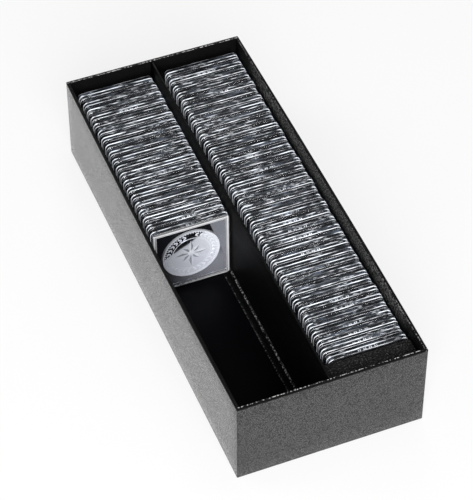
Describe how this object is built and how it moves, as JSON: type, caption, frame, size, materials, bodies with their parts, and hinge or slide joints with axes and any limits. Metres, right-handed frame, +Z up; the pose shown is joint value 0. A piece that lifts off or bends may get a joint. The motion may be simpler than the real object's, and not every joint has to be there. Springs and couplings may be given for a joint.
{
  "type": "coin display case",
  "caption": "Open paper-wrapped board tray with two long bays, a divider and a foam spacer, holding rows of clear square coin capsules stood on edge.",
  "frame": {"origin": "middle of the underside, on the surface that the tray stands on", "axes": "+Y along the rows to the back, +X to the right, +Z up"},
  "size_m": [0.117, 0.288, 0.0615],
  "materials": {
    "grained_paper": "black paper with an embossed leather grain",
    "lining_paper": "plain black paper, faint satin",
    "floor_paper": "smooth black paper, satin",
    "divider_paper": "black paper with a fine grain",
    "greyboard": "raw grey board",
    "foam": "open-cell foam, dark grey with lighter specks",
    "clear_plastic": "clear polished plastic",
    "insert_black": "black moulded insert, satin",
    "silver": "bright struck silver with a raised rim"
  },
  "bodies": {
    "tray": {"base_sheet": "lining_paper", "base_board": "greyboard", "left_board": "greyboard", "right_board": "greyboard", "front_board": "greyboard", "back_board": "greyboard", "outer_wrap": "grained_paper", "left_lining": "lining_paper", "right_lining": "lining_paper", "front_lining": "lining_paper", "back_lining": "lining_paper", "floor_liner": "floor_paper", "divider_board": "greyboard", "divider_wrap": "divider_paper"},
    "foam_spacer": {"foam_block": "foam"},
    "front_capsule": {"front_capsule_base": "clear_plastic", "front_insert": "insert_black"},
    "front_lid": {"front_capsule_lid": "clear_plastic"},
    "front_coin": {"front_coin": "silver"},
    "left_batch_1": {"left_bases_1": "clear_plastic", "left_lids_1": "clear_plastic", "left_inserts_1": "insert_black", "left_coins_1": "silver"},
    "left_batch_2": {"left_bases_2": "clear_plastic", "left_lids_2": "clear_plastic", "left_inserts_2": "insert_black", "left_coins_2": "silver"},
    "left_batch_3": {"left_bases_3": "clear_plastic", "left_lids_3": "clear_plastic", "left_inserts_3": "insert_black", "left_coins_3": "silver"},
    "right_batch_1": {"right_bases_1": "clear_plastic", "right_lids_1": "clear_plastic", "right_inserts_1": "insert_black", "right_coins_1": "silver"},
    "right_batch_2": {"right_bases_2": "clear_plastic", "right_lids_2": "clear_plastic", "right_inserts_2": "insert_black", "right_coins_2": "silver"},
    "right_batch_3": {"right_bases_3": "clear_plastic", "right_lids_3": "clear_plastic", "right_inserts_3": "insert_black", "right_coins_3": "silver"},
    "right_batch_4": {"right_bases_4": "clear_plastic", "right_lids_4": "clear_plastic", "right_inserts_4": "insert_black", "right_coins_4": "silver"},
    "right_batch_5": {"right_bases_5": "clear_plastic", "right_lids_5": "clear_plastic", "right_inserts_5": "insert_black", "right_coins_5": "silver"},
    "right_batch_6": {"right_bases_6": "clear_plastic", "right_lids_6": "clear_plastic", "right_inserts_6": "insert_black", "right_coins_6": "silver"}
  },
  "joints": [
    {"name": "foam_lift", "type": "slide", "parent": "tray", "child": "foam_spacer", "axis": [0, 0, 1], "range_m": [0, 0.065]},
    {"name": "front_capsule_lift", "type": "slide", "parent": "tray", "child": "front_capsule", "axis": [0, 0, 1], "range_m": [0, 0.065]},
    {"name": "front_lid_pull", "type": "slide", "parent": "front_capsule", "child": "front_lid", "axis": [0, -0.9998, 0.0175], "range_m": [0, 0.04]},
    {"name": "front_coin_out", "type": "slide", "parent": "front_capsule", "child": "front_coin", "axis": [0, -0.9998, 0.0175], "range_m": [0, 0.02]},
    {"name": "left_batch_1_lift", "type": "slide", "parent": "tray", "child": "left_batch_1", "axis": [0, 0, 1], "range_m": [0, 0.065]},
    {"name": "left_batch_2_lift", "type": "slide", "parent": "tray", "child": "left_batch_2", "axis": [0, 0, 1], "range_m": [0, 0.065]},
    {"name": "left_batch_3_lift", "type": "slide", "parent": "tray", "child": "left_batch_3", "axis": [0, 0, 1], "range_m": [0, 0.065]},
    {"name": "right_batch_1_lift", "type": "slide", "parent": "tray", "child": "right_batch_1", "axis": [0, 0, 1], "range_m": [0, 0.065]},
    {"name": "right_batch_2_lift", "type": "slide", "parent": "tray", "child": "right_batch_2", "axis": [0, 0, 1], "range_m": [0, 0.065]},
    {"name": "right_batch_3_lift", "type": "slide", "parent": "tray", "child": "right_batch_3", "axis": [0, 0, 1], "range_m": [0, 0.065]},
    {"name": "right_batch_4_lift", "type": "slide", "parent": "tray", "child": "right_batch_4", "axis": [0, 0, 1], "range_m": [0, 0.065]},
    {"name": "right_batch_5_lift", "type": "slide", "parent": "tray", "child": "right_batch_5", "axis": [0, 0, 1], "range_m": [0, 0.065]},
    {"name": "right_batch_6_lift", "type": "slide", "parent": "tray", "child": "right_batch_6", "axis": [0, 0, 1], "range_m": [0, 0.065]}
  ],
  "couplings": [
    {"joint": "front_coin_out", "follows": "front_lid_pull", "ratio": 0.5}
  ]
}
